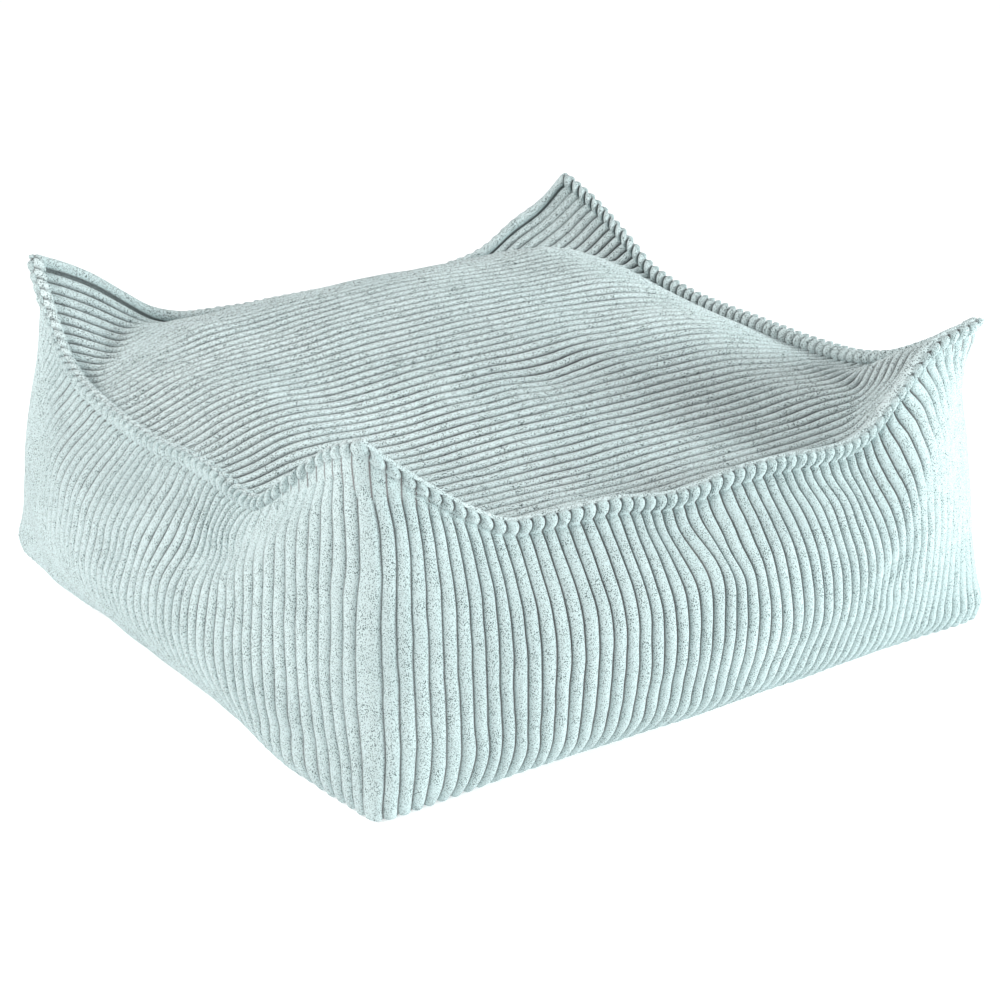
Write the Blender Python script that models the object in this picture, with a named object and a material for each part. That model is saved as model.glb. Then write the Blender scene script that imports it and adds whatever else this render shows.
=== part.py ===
"""A square floor ottoman: a filled cushion in chunky corduroy with four pointed ears.

Metres, +Z up. The origin is on the floor, under the middle of the ottoman.
The front faces -Y, the right side +X, the back +Y and the left side -X.
The side band's ribs stand upright and the top panel's ribs run along X.
Sizes in the tables are in millimetres.
"""

import bpy
import bmesh
import numpy as np

MM = 0.001
GAP = 0.3                 # between the body and the base panel
RIBS = 57                 # across each side of the band, and across the top
RIDGE = 1.5               # how far a rib's back stands out
GROOVE = 2.2              # how far the groove between two of the band's ribs lies in
TOP_GROOVE = 1.2          # the same in the top panel, which has less cloth under it
RING = 256                # steps along one side, before ribs are spaced out
SWELL = 2.2               # the higher, the flatter the middle of a bulging side
ROUNDED_IN = 0.45         # rounding draws a corner in by this share of its softness
SEAM_HALF = 280.0         # the seam is about this far from the middle
CREST_SOFT = 3.0          # how softly the seam's crest turns at an ear's tip

BASE_THICK = 2.0
PANEL_THICK = 3.0         # top panel, from its underside to the middle of its ribs
PANEL_DROP = 3.8          # from the middle of its ribs down to the body
LEAF = 3.0                # the body's half of the standing seam
LEAF_GAP = 0.6            # between the two halves of the standing seam
LEAF_STEP = 0.5           # the seam's crest falls by this much from leaf to leaf
FLANGE = 11.0             # height of the standing seam over the top panel
SCALLOP = 1.2             # the rib ends make the crest of the seam wavy

SIDES = ("front", "right", "back", "left")
OUTWARD = {"front": (0, -1), "right": (1, 0), "back": (0, 1), "left": (-1, 0)}
ALONG = {"front": (1, 0), "right": (0, 1), "back": (-1, 0), "left": (0, -1)}

# The side band's section. Columns: share of the seam's height, distance from
# the middle of the ottoman at a corner, at the middle of the front and right
# sides, and of the left and back sides, and how softly the corner is rounded.
SECTION = np.array([
    (0.00, 286, 283, 285, 12),
    (0.05, 288, 303, 297, 12),
    (0.13, 284, 320, 312, 13),
    (0.26, 279, 333, 331, 15),
    (0.45, 274, 344, 344, 16),
    (0.60, 270, 340, 340, 15),
    (0.72, 266, 329, 333, 14),
    (0.82, 265, 313, 318, 13),
    (0.90, 266, 298, 300, 12),
    (0.95, 269, 293, 294, 10),
    (1.00, 273, 292, 293, 9),
], float)
LEVELS = (0.0, 0.10, 0.28, 0.50, 0.72, 0.90, 1.0)

# The height of the seam's crest. Columns: place along the side, seen from
# outside, from -1 at its left corner to 1 at its right corner, and height.
CREST = {
    "front": [(-1, 267), (-.93, 251), (-.81, 224), (-.71, 204), (-.64, 193), (-.54, 191),
              (-.33, 191), (-.15, 184), (-.05, 185), (.02, 188), (.22, 189), (.40, 185),
              (.55, 187), (.64, 193), (.73, 209), (.79, 222), (.90, 236), (1, 255)],
    "right": [(-1, 255), (-.9, 236), (-.77, 216), (-.64, 199), (-.5, 188), (-.3, 183),
              (0, 183), (.22, 184), (.37, 188), (.52, 198), (.67, 220), (.82, 241),
              (.93, 254), (1, 262)],
    "back": [(-1, 262), (-.92, 240), (-.8, 220), (-.69, 198), (-.55, 187), (-.3, 183),
             (0, 183), (.3, 184), (.48, 189), (.58, 199), (.69, 219), (.79, 238),
             (.89, 253), (1, 266)],
    "left": [(-1, 266), (-.93, 250), (-.84, 228), (-.74, 209), (-.62, 197), (-.45, 192),
             (-.28, 189), (0, 188), (.14, 192), (.26, 192), (.42, 187), (.50, 188),
             (.57, 198), (.70, 222), (.83, 246), (.92, 259), (1, 267)],
}

# How far each ear's tip leans, east and north. Corner 0 is front left, and
# corner k starts side k.
EAR_LEAN = ((-8, 6), (3, -1), (5, -6), (6, -2))
LEAN_FROM_LEVEL = 0.02
LEAN_FROM_PLACE = 0.35

# Folds in the band. Columns: side, place along it and level of the fold's
# start and of its end, depth (negative where the band stands out), and half
# width. A fold never ends quite flat.
FOLD_HEIGHT = 200.0       # the band's usual height, for a fold's slant
FOLD_ENDS = (0.12, 0.88)
FOLDS = (
    ("left", 0.82, 0.93, 0.05, 0.60, 8.0, 15.0),
    ("left", 0.66, -0.12, 0.66, 0.22, -10.5, 50.0),
    ("left", -0.62, -0.12, -0.62, 0.22, -8.0, 60.0),
    ("front", -0.06, 0.90, 0.10, 0.62, 5.0, 14.0),
    ("front", 1.00, 0.84, 1.00, 1.00, -5.0, 16.0),
    ("right", -1.00, 0.84, -1.00, 1.00, -5.0, 16.0),
    ("front", 1.00, 0.00, 1.00, 0.80, 4.0, 22.0),
    ("right", -1.00, 0.00, -1.00, 0.80, 4.0, 22.0),
    ("right", 0.55, 0.88, 0.20, 0.60, 4.0, 16.0),
    ("back", -0.60, 0.90, -0.15, 0.62, 5.0, 16.0),
)

# The crown of the top. Columns: distance from the middle along the axis, and
# share of the crown's rise.
CROWN_X = [(-290, 0), (-230, .5), (-116, .87), (0, 1), (116, 1), (225, .88), (290, .12)]
CROWN_Y = [(-290, 0), (-230, .08), (-145, .28), (-64, .55), (0, .76), (60, .90),
           (130, 1), (200, .93), (250, .62), (290, .12)]
CROWN_LOW = 162.0
CROWN_HIGH = 216.0
EAR_FOOT = 250.0          # the top panel's height at an ear's tip
EAR_FALL = 0.74           # how steeply an ear's inner face falls
EAR_CORNER = 268.0
VALLEY = 7.0              # how softly an ear's inner face meets the crown
SEAM_REACH = 28.0         # how far in from the seam the top follows the seam's height

# Dents in the top, or rises if negative. Columns: east, north, half width
# east, half width north, depth.
DENTS = (
    (20, 60, 70, 22, 3.0),
    (190, 30, 50, 30, 5.0),
    (-150, 130, 60, 30, 3.0),
    (-205, -10, 45, 120, -9.0),
    (-165, 170, 40, 60, -4.0),
    (-212, 222, 28, 40, 5.0),
    (235, -195, 75, 60, -12.0),
)

COLUMNS = np.array([0, .12, .3, .48, .64, .78, .9, 1.0])   # half of the top's columns
COARSE_ROWS = 28          # rows of the top panel's underside
BASE_POINTS = 16          # along each side of the base panel
PLACES = 241              # steps across the top before its rows are spaced out
PILE_ROUGHNESS = 0.95
SHARP_ANGLE = 60          # in degrees; gentler turns are shaded smooth


def curve(x, table):
    """A smooth curve through a table's first two columns."""
    xs, ys = np.array([row[0] for row in table], float), np.array([row[1] for row in table], float)
    slope = np.gradient(ys, xs)
    i = np.clip(np.searchsorted(xs, x, side="right") - 1, 0, len(xs) - 2)
    h = xs[i + 1] - xs[i]
    f = np.clip((x - xs[i]) / h, 0, 1)
    start = (2 * f**3 - 3 * f**2 + 1) * ys[i] + (f**3 - 2 * f**2 + f) * h * slope[i]
    return start + (3 * f**2 - 2 * f**3) * ys[i + 1] + (f**3 - f**2) * h * slope[i + 1]


def ease(x):
    x = np.clip(x, 0, 1)
    return x * x * (3 - 2 * x)


def soften(values, width):
    """A closed row of values, smoothed with a bell of this width in steps."""
    reach = int(4 * width) + 1
    bell = np.exp(-0.5 * (np.arange(-reach, reach + 1) / width) ** 2)
    wrapped = np.concatenate([values[-reach:], values, values[:reach]])
    return np.convolve(wrapped, bell / bell.sum(), mode="valid")


def fold_depth(side, a, level, half):
    """How far the band's folds push it in, along one side at one level."""
    depth = np.zeros_like(a)
    for name, a0, v0, a1, v1, deep, width in FOLDS:
        if name != side:
            continue
        run = np.array([(a1 - a0) * half, (v1 - v0) * FOLD_HEIGHT])
        at = np.stack([(a - a0) * half, np.full_like(a, (level - v0) * FOLD_HEIGHT)], -1)
        t = np.clip(at @ run / (run @ run), 0, 1)
        off = np.linalg.norm(at - t[:, None] * run, axis=1)
        depth += deep * np.sin(np.pi * np.clip(t, *FOLD_ENDS)) * np.exp(-(off / width) ** 2)
    return depth


def ring(level):
    """The band's outline at a level, in millimetres, from the front left corner on."""
    half, front, left, soft = (curve(level, SECTION[:, [0, k]]) for k in (1, 2, 3, 4))
    half = half + ROUNDED_IN * soft
    a = -1 + 2 * np.arange(RING) / RING
    rise = ease((level - LEAN_FROM_LEVEL) / (1 - LEAN_FROM_LEVEL))
    parts = []
    for k, side in enumerate(SIDES):
        middle = front if side in ("front", "right") else left
        out = half + (middle - half) * (1 - np.abs(a) ** SWELL) - fold_depth(side, a, level, half)
        to_left, to_right = (ease((way * a - LEAN_FROM_PLACE) / (1 - LEAN_FROM_PLACE)) for way in (-1, 1))
        lean = (np.outer(to_left, EAR_LEAN[k]) + np.outer(to_right, EAR_LEAN[(k + 1) % 4])) * rise
        plan = np.outer(out, OUTWARD[side]) + np.outer(a * half, ALONG[side]) + lean
        foot = BASE_THICK + GAP
        height = foot + level * (curve(a, CREST[side]) - foot)
        parts.append(np.column_stack([plan, height]))
    points = np.concatenate(parts)
    step = 2 * half / RING
    for axis, width in ((0, soft), (1, soft), (2, CREST_SOFT)):
        points[:, axis] = soften(points[:, axis], width / step)
    return points


def side_line(outline, k):
    """One side of a ring, with its plan length so far."""
    closed = np.concatenate([outline, outline[:1]])[k * RING:(k + 1) * RING + 1]
    steps = np.linalg.norm(np.diff(closed[:, :2], axis=0), axis=1)
    return closed, np.concatenate([[0], np.cumsum(steps)])


def along_side(outline, k, share):
    """Points at the given shares, 0 to 1, of one side's plan length."""
    line, length = side_line(outline, k)
    at = np.asarray(share) * length[-1]
    return np.stack([np.interp(at, length, line[:, j]) for j in range(3)], -1)


def ribbed_band():
    """Rings of points up the band: each rib has a point on its back and one in its groove."""
    share = np.arange(2 * RIBS) / (2 * RIBS)
    rows = np.array([np.concatenate([along_side(ring(v), k, share) for k in range(4)]) for v in LEVELS])
    across = np.roll(rows, -1, axis=1) - np.roll(rows, 1, axis=1)
    up = np.gradient(rows, axis=0)
    normal = np.cross(across, up)
    normal /= np.linalg.norm(normal, axis=2, keepdims=True)
    normal[[0, -1], :, 2] = 0
    relief = np.where(np.arange(rows.shape[1]) % 2 == 0, RIDGE, -GROOVE)
    rows = rows + normal * relief[None, :, None]
    rows[-1, :, 2] += np.sign(relief) * SCALLOP
    return rows


def crown(x, y):
    return CROWN_LOW + (CROWN_HIGH - CROWN_LOW) * curve(x, CROWN_X) * curve(y, CROWN_Y)


def top_height(x, y):
    """The crown, raised to the four ears' inner faces and dented."""
    z = crown(x, y)
    for east in (-1, 1):
        for north in (-1, 1):
            run = 2 * EAR_CORNER - east * x - north * y
            face = EAR_FOOT - EAR_FALL * run
            z = 0.5 * (z + face + np.sqrt((z - face) ** 2 + (2 * VALLEY) ** 2))
    for east, north, wide, long, deep in DENTS:
        z = z - deep * np.exp(-((x - east) / wide) ** 2 - ((y - north) / long) ** 2)
    return z


def rim(k, a, inset, drop):
    """The seam's line along side k at places a, moved in and down."""
    points = along_side(CREST_RING, k, (np.asarray(a) + 1) / 2)
    points[:, :2] *= 1 - inset / SEAM_HALF
    points[:, 2] -= drop
    return points


def top_grid(columns, rows, inset):
    """The top's points, [row, column], with rows evenly spaced along the cloth.

    Also the places of the rows along the left and the right seam, -1 to 1.
    """
    fine = np.linspace(-1, 1, PLACES)
    south, north = rim(0, columns, inset, FLANGE), rim(2, -columns, inset, FLANGE)
    west, east = rim(3, -fine, inset, FLANGE), rim(1, fine, inset, FLANGE)
    u, v = (columns[None, :, None] + 1) / 2, (fine[:, None, None] + 1) / 2
    plan = (1 - v) * south[None] + v * north[None] + (1 - u) * west[:, None] + u * east[:, None]
    plan = plan - (1 - u) * (1 - v) * south[0] - u * (1 - v) * south[-1]
    plan = plan - (1 - u) * v * north[0] - u * v * north[-1]
    x, y = plan[..., 0], plan[..., 1]
    z = top_height(x, y)
    near = {
        "south": np.exp(-(y - y[:1]) / SEAM_REACH), "north": np.exp(-(y[-1:] - y) / SEAM_REACH),
        "west": np.exp(-(x - x[:, :1]) / SEAM_REACH), "east": np.exp(-(x[:, -1:] - x) / SEAM_REACH),
    }
    miss = {
        "south": south[None, :, 2] - z[:1], "north": north[None, :, 2] - z[-1:],
        "west": west[:, None, 2] - z[:, :1], "east": east[:, None, 2] - z[:, -1:],
    }
    z = z + sum(near[name] * miss[name] for name in near)
    for name, row in (("south", 0), ("north", -1)):
        z = z - near[name] * near["west"] * miss[name][0, 0]
        z = z - near[name] * near["east"] * miss[name][0, -1]
    grid = np.zeros((rows + 1, len(columns), 3))
    places = []
    for j in range(len(columns)):
        line = np.stack([x[:, j], y[:, j], z[:, j]], -1)
        length = np.concatenate([[0], np.cumsum(np.linalg.norm(np.diff(line[:, 1:], axis=0), axis=1))])
        at = np.linspace(0, length[-1], rows + 1)
        grid[:, j] = np.stack([np.interp(at, length, line[:, m]) for m in range(3)], -1)
        places.append(np.interp(at, length, fine))
    return grid, places[0], places[-1]


def grid_border(grid):
    """The indices of a grid's border points, counterclockwise from the south west."""
    rows, columns = grid.shape[:2]
    index = np.arange(rows * columns).reshape(rows, columns)
    return np.concatenate([index[0, :-1], index[:-1, -1], index[-1, :0:-1], index[:0:-1, 0]])


def rim_ring(columns, west, east, inset, drop):
    """The seam's line all round, with a point for each border point of a grid."""
    return np.concatenate([
        rim(0, columns[:-1], inset, drop), rim(1, east[:-1], inset, drop),
        rim(2, -columns[:0:-1], inset, drop), rim(3, -west[:0:-1], inset, drop),
    ])


class Shell:
    """Collects points and faces, and makes one closed mesh of them."""

    def __init__(self):
        self.mesh = bmesh.new()

    def add(self, points):
        return [self.mesh.verts.new(p * MM) for p in np.asarray(points, float).reshape(-1, 3)]

    def face(self, *corners):
        self.mesh.faces.new(corners)

    def sheet(self, grid, upward=True):
        """A grid of points as triangles that all share one diagonal."""
        rows, columns = grid.shape[:2]
        v = np.array(self.add(grid), object).reshape(rows, columns)
        for i in range(rows - 1):
            for j in range(columns - 1):
                a, b, c, d = v[i, j], v[i, j + 1], v[i + 1, j + 1], v[i + 1, j]
                for tri in ((a, b, c), (a, c, d)):
                    self.face(*(tri if upward else tri[::-1]))
        return v.reshape(-1)

    def wall(self, lower, upper, outward=True):
        """Quads, as triangles, between two rings with the same number of points."""
        for i in range(len(lower)):
            j = (i + 1) % len(lower)
            for tri in ((lower[i], lower[j], upper[j]), (lower[i], upper[j], upper[i])):
                self.face(*(tri if outward else tri[::-1]))

    def zip(self, first, second, outward=True):
        """Triangles between two rings with different numbers of points."""
        def angles(ring_points):
            at = np.array([v.co[:2] for v in ring_points])
            turn = np.unwrap(np.arctan2(at[:, 1], at[:, 0]))
            return np.append(turn, turn[0] + 2 * np.pi)
        one, two = angles(first), angles(second)
        i = j = 0
        while i < len(first) or j < len(second):
            a, b = first[i % len(first)], second[j % len(second)]
            step_first = j == len(second) or (i < len(first) and one[i + 1] <= two[j + 1])
            if step_first:
                tri = (a, first[(i + 1) % len(first)], b)
                i += 1
            else:
                tri = (a, second[(j + 1) % len(second)], b)
                j += 1
            self.face(*(tri if outward else tri[::-1]))

    def cap(self, loop, upward):
        self.face(*(loop if upward else loop[::-1]))

    def finish(self, name, material, collection):
        bmesh.ops.triangulate(self.mesh, faces=[f for f in self.mesh.faces if len(f.verts) > 3])
        data = bpy.data.meshes.new(name)
        self.mesh.to_mesh(data)
        self.mesh.free()
        data.shade_smooth()
        data.set_sharp_from_angle(angle=np.radians(SHARP_ANGLE))
        data.materials.append(material)
        made = bpy.data.objects.new(name, data)
        collection.objects.link(made)
        return made


def cloth(name, colour):
    material = bpy.data.materials.new(name)
    material.use_nodes = True
    shader = material.node_tree.nodes["Principled BSDF"]
    shader.inputs["Base Color"].default_value = (*colour, 1)
    shader.inputs["Roughness"].default_value = PILE_ROUGHNESS
    shader.inputs["Metallic"].default_value = 0
    return material


def make_body(coarse, columns, collection):
    """The filled cushion: ribbed band, its half of the standing seam, and the bed of the top."""
    shell = Shell()
    grid, west, east = coarse
    rings = [shell.add(row) for row in ribbed_band()]
    for lower, upper in zip(rings[:-1], rings[1:]):
        shell.wall(lower, upper)
    shell.cap(rings[0], upward=False)
    inner = shell.add(rim_ring(columns, west, east, LEAF, LEAF_STEP))
    shell.zip(rings[-1], inner)
    bed = grid.copy()
    bed[..., 2] -= PANEL_DROP
    top = shell.sheet(bed)
    foot = [top[i] for i in grid_border(bed)]
    shell.wall(inner, foot)
    return shell.finish("filled_body", cloth("cord_side", (0.55, 0.66, 0.67)), collection)


def make_top(coarse, fine, columns, collection):
    """The ribbed top panel, with its own half of the standing seam turned up round it."""
    shell = Shell()
    grid, west, east = coarse
    under = grid.copy()
    under[..., 2] -= PANEL_THICK
    under[..., :2] *= 1 - LEAF_GAP / SEAM_HALF
    below = shell.sheet(under, upward=False)
    foot = [below[i] for i in grid_border(under)]
    outer = shell.add(rim_ring(columns, west, east, LEAF + LEAF_GAP, LEAF_STEP))
    shell.wall(foot, outer)
    ribs, fine_west, fine_east = fine
    relief = np.where(np.arange(2 * RIBS + 1) % 2 == 1, RIDGE, -TOP_GROOVE)
    across = np.gradient(ribs, axis=1)
    ahead = np.gradient(ribs, axis=0)
    normal = np.cross(across, ahead)
    normal /= np.linalg.norm(normal, axis=2, keepdims=True)
    raised = ribs + normal * relief[:, None, None]
    crest = rim_ring(columns, fine_west, fine_east, 2 * LEAF + LEAF_GAP, 3 * LEAF_STEP)
    count = len(columns) - 1
    wave = np.zeros(len(crest))
    wave[count:count + 2 * RIBS] = relief[:-1]
    wave[2 * count + 2 * RIBS:] = relief[:0:-1]
    crest[:, :2] *= 1 - LEAF_STEP * wave[:, None] / SEAM_HALF
    crest[:, 2] += LEAF_STEP * wave
    inner = shell.add(crest)
    shell.zip(outer, inner)
    above = shell.sheet(raised)
    shell.wall(inner, [above[i] for i in grid_border(raised)])
    return shell.finish("top_panel", cloth("cord_top", (0.48, 0.59, 0.60)), collection)


def make_base(collection):
    """The plain base panel that the ottoman stands on."""
    shell = Shell()
    share = np.arange(BASE_POINTS) / BASE_POINTS
    outline = np.concatenate([along_side(ring(0.0), k, share) for k in range(4)])
    outline[:, :2] *= 1 - GROOVE / SEAM_HALF
    low, high = outline.copy(), outline.copy()
    low[:, 2], high[:, 2] = 0, BASE_THICK
    lower, upper = shell.add(low), shell.add(high)
    shell.cap(lower, upward=False)
    shell.wall(lower, upper)
    shell.cap(upper, upward=True)
    return shell.finish("base_panel", cloth("base_cloth", (0.42, 0.50, 0.51)), collection)


for old in list(bpy.data.objects):
    bpy.data.objects.remove(old, do_unlink=True)

CREST_RING = ring(1.0)
ottoman = bpy.data.collections.new("ottoman")
bpy.context.scene.collection.children.link(ottoman)

all_columns = np.concatenate([-COLUMNS[:0:-1], COLUMNS])
coarse_top = top_grid(all_columns, COARSE_ROWS, LEAF)
fine_top = top_grid(all_columns, 2 * RIBS, 2 * LEAF + LEAF_GAP)
make_body(coarse_top, all_columns, ottoman)
make_top(coarse_top, fine_top, all_columns, ottoman)
make_base(ottoman)
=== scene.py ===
"""Looks of the floor ottoman: a chunky corduroy cushion with four pointed ears.

The tables and the shapes are in millimetres. The finished meshes, the lights
and the camera are in metres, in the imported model's frame. The front faces -Y,
the right side +X, the back +Y and the left side -X.
"""

import math

import bpy
import numpy as np
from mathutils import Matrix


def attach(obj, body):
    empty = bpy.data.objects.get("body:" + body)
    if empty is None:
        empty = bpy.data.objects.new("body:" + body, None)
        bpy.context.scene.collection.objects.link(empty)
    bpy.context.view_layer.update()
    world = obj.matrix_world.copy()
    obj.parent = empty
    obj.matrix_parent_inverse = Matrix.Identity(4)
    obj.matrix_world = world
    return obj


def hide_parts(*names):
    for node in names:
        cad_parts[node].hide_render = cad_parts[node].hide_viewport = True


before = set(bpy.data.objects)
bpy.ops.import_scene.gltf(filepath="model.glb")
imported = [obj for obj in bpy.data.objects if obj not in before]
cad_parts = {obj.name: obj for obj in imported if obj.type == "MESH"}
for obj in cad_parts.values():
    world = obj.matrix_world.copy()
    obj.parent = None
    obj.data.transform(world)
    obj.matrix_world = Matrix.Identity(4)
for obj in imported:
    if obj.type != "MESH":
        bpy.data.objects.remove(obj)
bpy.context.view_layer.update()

MM = 0.001
RIBS = 57                 # across each side of the band, and across the top
RIDGE = 1.5               # how far a rib's back stands out
GROOVE = 2.2              # how far the groove between two of the band's ribs lies in
TOP_GROOVE = 3.4          # the same in the top panel
RING = 256                # steps along one side, before ribs are spaced out
RIM_STEPS = 481           # steps along the left and the right seam for the top
SWELL = 2.2               # the higher, the flatter the middle of a bulging side
ROUNDED_IN = 0.45         # rounding draws a corner in by this share of its softness
SEAM_HALF = 280.0         # the seam is about this far from the middle
PITCH = 2 * SEAM_HALF / RIBS   # from one rib to the next
CREST_SOFT = 3.0          # how softly the seam's crest turns at an ear's tip
FOOT = 2.3                # the lowest height of the band's section
STACK_LEVELS = 161        # outlines in the stack, from the base to the crest
STEPS_A_RIB = 4           # steps of the stack of outlines across one rib

LEAF = 3.0                # one half of the standing seam
FLANGE = 11.0             # height of the standing seam over the top panel
SCALLOP = 1.9             # the rib ends make the crest of the seam wavy
STITCH_DOWN = 11.0        # the stitch line lies this far below the crest
STITCH_IN = 1.9           # and is pressed in by this much
STITCH_WIDE = 1.5         # half width of the stitch line
STITCH_FLATTENS = 0.45    # share of the ribs' relief that the stitch line takes
ROLLED_UP = 1.2           # the top's last ribs, rolled along the seam, stand higher by this
CREST_WAVE = 0.4          # share of the ribs' relief in the height of the top's crest
CREST_ROWS = 3.0          # the top's crest is what lies less than this below the seam
LEAF_GROOVE_SHADE = 0.80        # how deep the painted groove shade is on the top's half of the seam
ROLL_SHADE = 0.7          # painted shade: how much the groove under the rolled ribs is darkened
LAST_FLAT = 0.45          # share of relief that the top's first and last rows lose
CREST_DEPTH = 0.5         # the band's ribs stand out more at the crest by this share
CREST_REACH = 9.0         # down to about this far below it
EDGE_TURN = 1.0           # the band turns in above this distance below the crest
EDGE_IN = 0.6             # by this much
FLAT_LIMITS = (-0.8, 0.9)  # limits of the share of relief that a rib may lose

SIDES = ("front", "right", "back", "left")
OUTWARD = {"front": (0, -1), "right": (1, 0), "back": (0, 1), "left": (-1, 0)}
ALONG = {"front": (1, 0), "right": (0, 1), "back": (-1, 0), "left": (0, -1)}

# The side band's section. Columns: share of the seam's height, distance from
# the middle of the ottoman at a corner, at the middle of the front and right
# sides, and of the left and back sides, and how softly the corner is rounded.
SECTION = np.array([
    (0.00, 286, 283, 285, 12),
    (0.05, 288, 303, 297, 12),
    (0.13, 284, 320, 312, 13),
    (0.26, 279, 333, 331, 15),
    (0.45, 274, 344, 344, 16),
    (0.60, 270, 340, 340, 15),
    (0.72, 266, 329, 333, 14),
    (0.82, 265, 313, 318, 13),
    (0.90, 266, 298, 300, 12),
    (0.95, 269, 293, 294, 10),
    (1.00, 273, 292, 293, 9),
], float)

# The height of the seam's crest. Columns: place along the side, seen from
# outside, from -1 at its left corner to 1 at its right corner, and height.
CREST = {
    "front": [(-1, 267), (-.93, 251), (-.81, 224), (-.71, 204), (-.64, 193), (-.54, 191),
              (-.33, 191), (-.15, 184), (-.05, 185), (.02, 188), (.22, 189), (.40, 185),
              (.50, 186), (.56, 192), (.60, 199), (.64, 209), (.68, 219), (.73, 232),
              (.79, 244), (.85, 249), (.92, 251), (1, 253)],
    "right": [(-1, 253), (-.9, 236), (-.77, 216), (-.64, 199), (-.5, 188), (-.3, 183),
              (0, 183), (.22, 184), (.37, 188), (.52, 198), (.67, 220), (.82, 241),
              (.93, 254), (1, 262)],
    "back": [(-1, 262), (-.92, 240), (-.8, 220), (-.69, 198), (-.55, 187), (-.3, 183),
             (0, 183), (.3, 184), (.48, 189), (.58, 199), (.69, 219), (.79, 238),
             (.89, 253), (1, 266)],
    "left": [(-1, 266), (-.93, 250), (-.84, 228), (-.74, 209), (-.62, 197), (-.45, 192),
             (-.28, 189), (0, 188), (.14, 192), (.26, 192), (.42, 187), (.50, 188),
             (.57, 198), (.70, 222), (.83, 246), (.92, 259), (1, 267)],
}

# How far each ear's tip leans, east and north. Corner 0 is front left, and
# corner k starts side k.
EAR_LEAN = ((-8, 6), (1.5, -1), (5, -6), (6, -2))
LEAN_FROM_LEVEL = 0.02    # the lean sets in at this level
LEAN_FROM_PLACE = 0.35    # and at this place along the side

# Folds in the band. Columns: side, place along it and level of the fold's
# start and of its end, depth (negative where the band stands out), and half
# width.
FOLD_HEIGHT = 200.0       # the band's usual height, for a fold's slant
FOLD_ENDS = (0.12, 0.88)  # a fold runs from this share of a sine's length to this
FOLDS = (
    ("left", 0.82, 0.93, 0.05, 0.60, 8.0, 15.0),
    ("left", 0.66, -0.12, 0.66, 0.22, -10.5, 50.0),
    ("left", -0.62, -0.12, -0.62, 0.22, -8.0, 60.0),
    ("front", -0.06, 0.90, 0.10, 0.62, 5.0, 14.0),
    ("front", 1.00, 0.84, 1.00, 1.00, -5.0, 16.0),
    ("right", -1.00, 0.84, -1.00, 1.00, -5.0, 16.0),
    ("front", 1.00, 0.00, 1.00, 0.80, 4.0, 22.0),
    ("right", -1.00, 0.00, -1.00, 0.80, 4.0, 22.0),
    ("right", 0.55, 0.88, 0.20, 0.60, 4.0, 16.0),
    ("back", -0.60, 0.90, -0.15, 0.62, 5.0, 16.0),
)

# The crown of the top. Columns: distance from the middle along the axis, and
# share of the crown's rise.
CROWN_X = [(-290, 0), (-230, .5), (-116, .87), (0, 1), (116, 1), (225, .88), (290, .12)]
CROWN_Y = [(-290, 0), (-230, .08), (-145, .28), (-64, .55), (0, .76), (60, .90),
           (130, 1), (200, .93), (250, .62), (290, .12)]
CROWN_LOW = 162.0         # the top's height where the crown has no rise
CROWN_HIGH = 216.0        # and at the crown's high spot
EAR_FOOT = 250.0          # the top panel's height at an ear's tip
EAR_FALL = 0.74           # how steeply an ear's inner face falls
EAR_CORNER = 268.0        # an ear's tip lies this far along both axes
VALLEY = 7.0              # how softly an ear's inner face meets the crown
# How far in from the seam the top follows the seam's height, along the front
# and the right side, and elsewhere. Columns: place along the side, reach.
FRONT_REACH = [(-1, 28), (.35, 28), (.66, 14), (1, 14)]
RIGHT_REACH = [(-1, 14), (-.75, 14), (-.45, 28), (1, 28)]
SEAM_REACH = 28.0

# Dents in the top, or rises if negative. Columns: east, north, half width
# east, half width north, depth.
DENTS = (
    (25, -52, 55, 24, 4.0),
    (190, 30, 50, 30, 5.0),
    (-150, 130, 60, 30, 3.0),
    (-205, -10, 45, 120, -9.0),
    (-165, 170, 40, 60, -4.0),
    (-212, 222, 28, 40, 5.0),
    (235, -195, 75, 60, -12.0),
)

# Where a rib's points lie across it, from its one groove, -1, to its other, 1.
ACROSS = np.array([-1.0, -0.91, -0.72, -0.40, 0.0, 0.40, 0.72, 0.91])
ROUND = 2.8               # the higher, the flatter a rib's back and the narrower its groove

# How a rib swings sideways on its way down from the crest, away from the front
# left corner. Columns: distance below the crest, swing.
HOOK = [(0, .8), (2, 1.8), (5, 1.8), (8, .3), (11, -1.9), (12.5, -2.0), (20, -1.2),
        (36, 0), (400, 0)]

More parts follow.
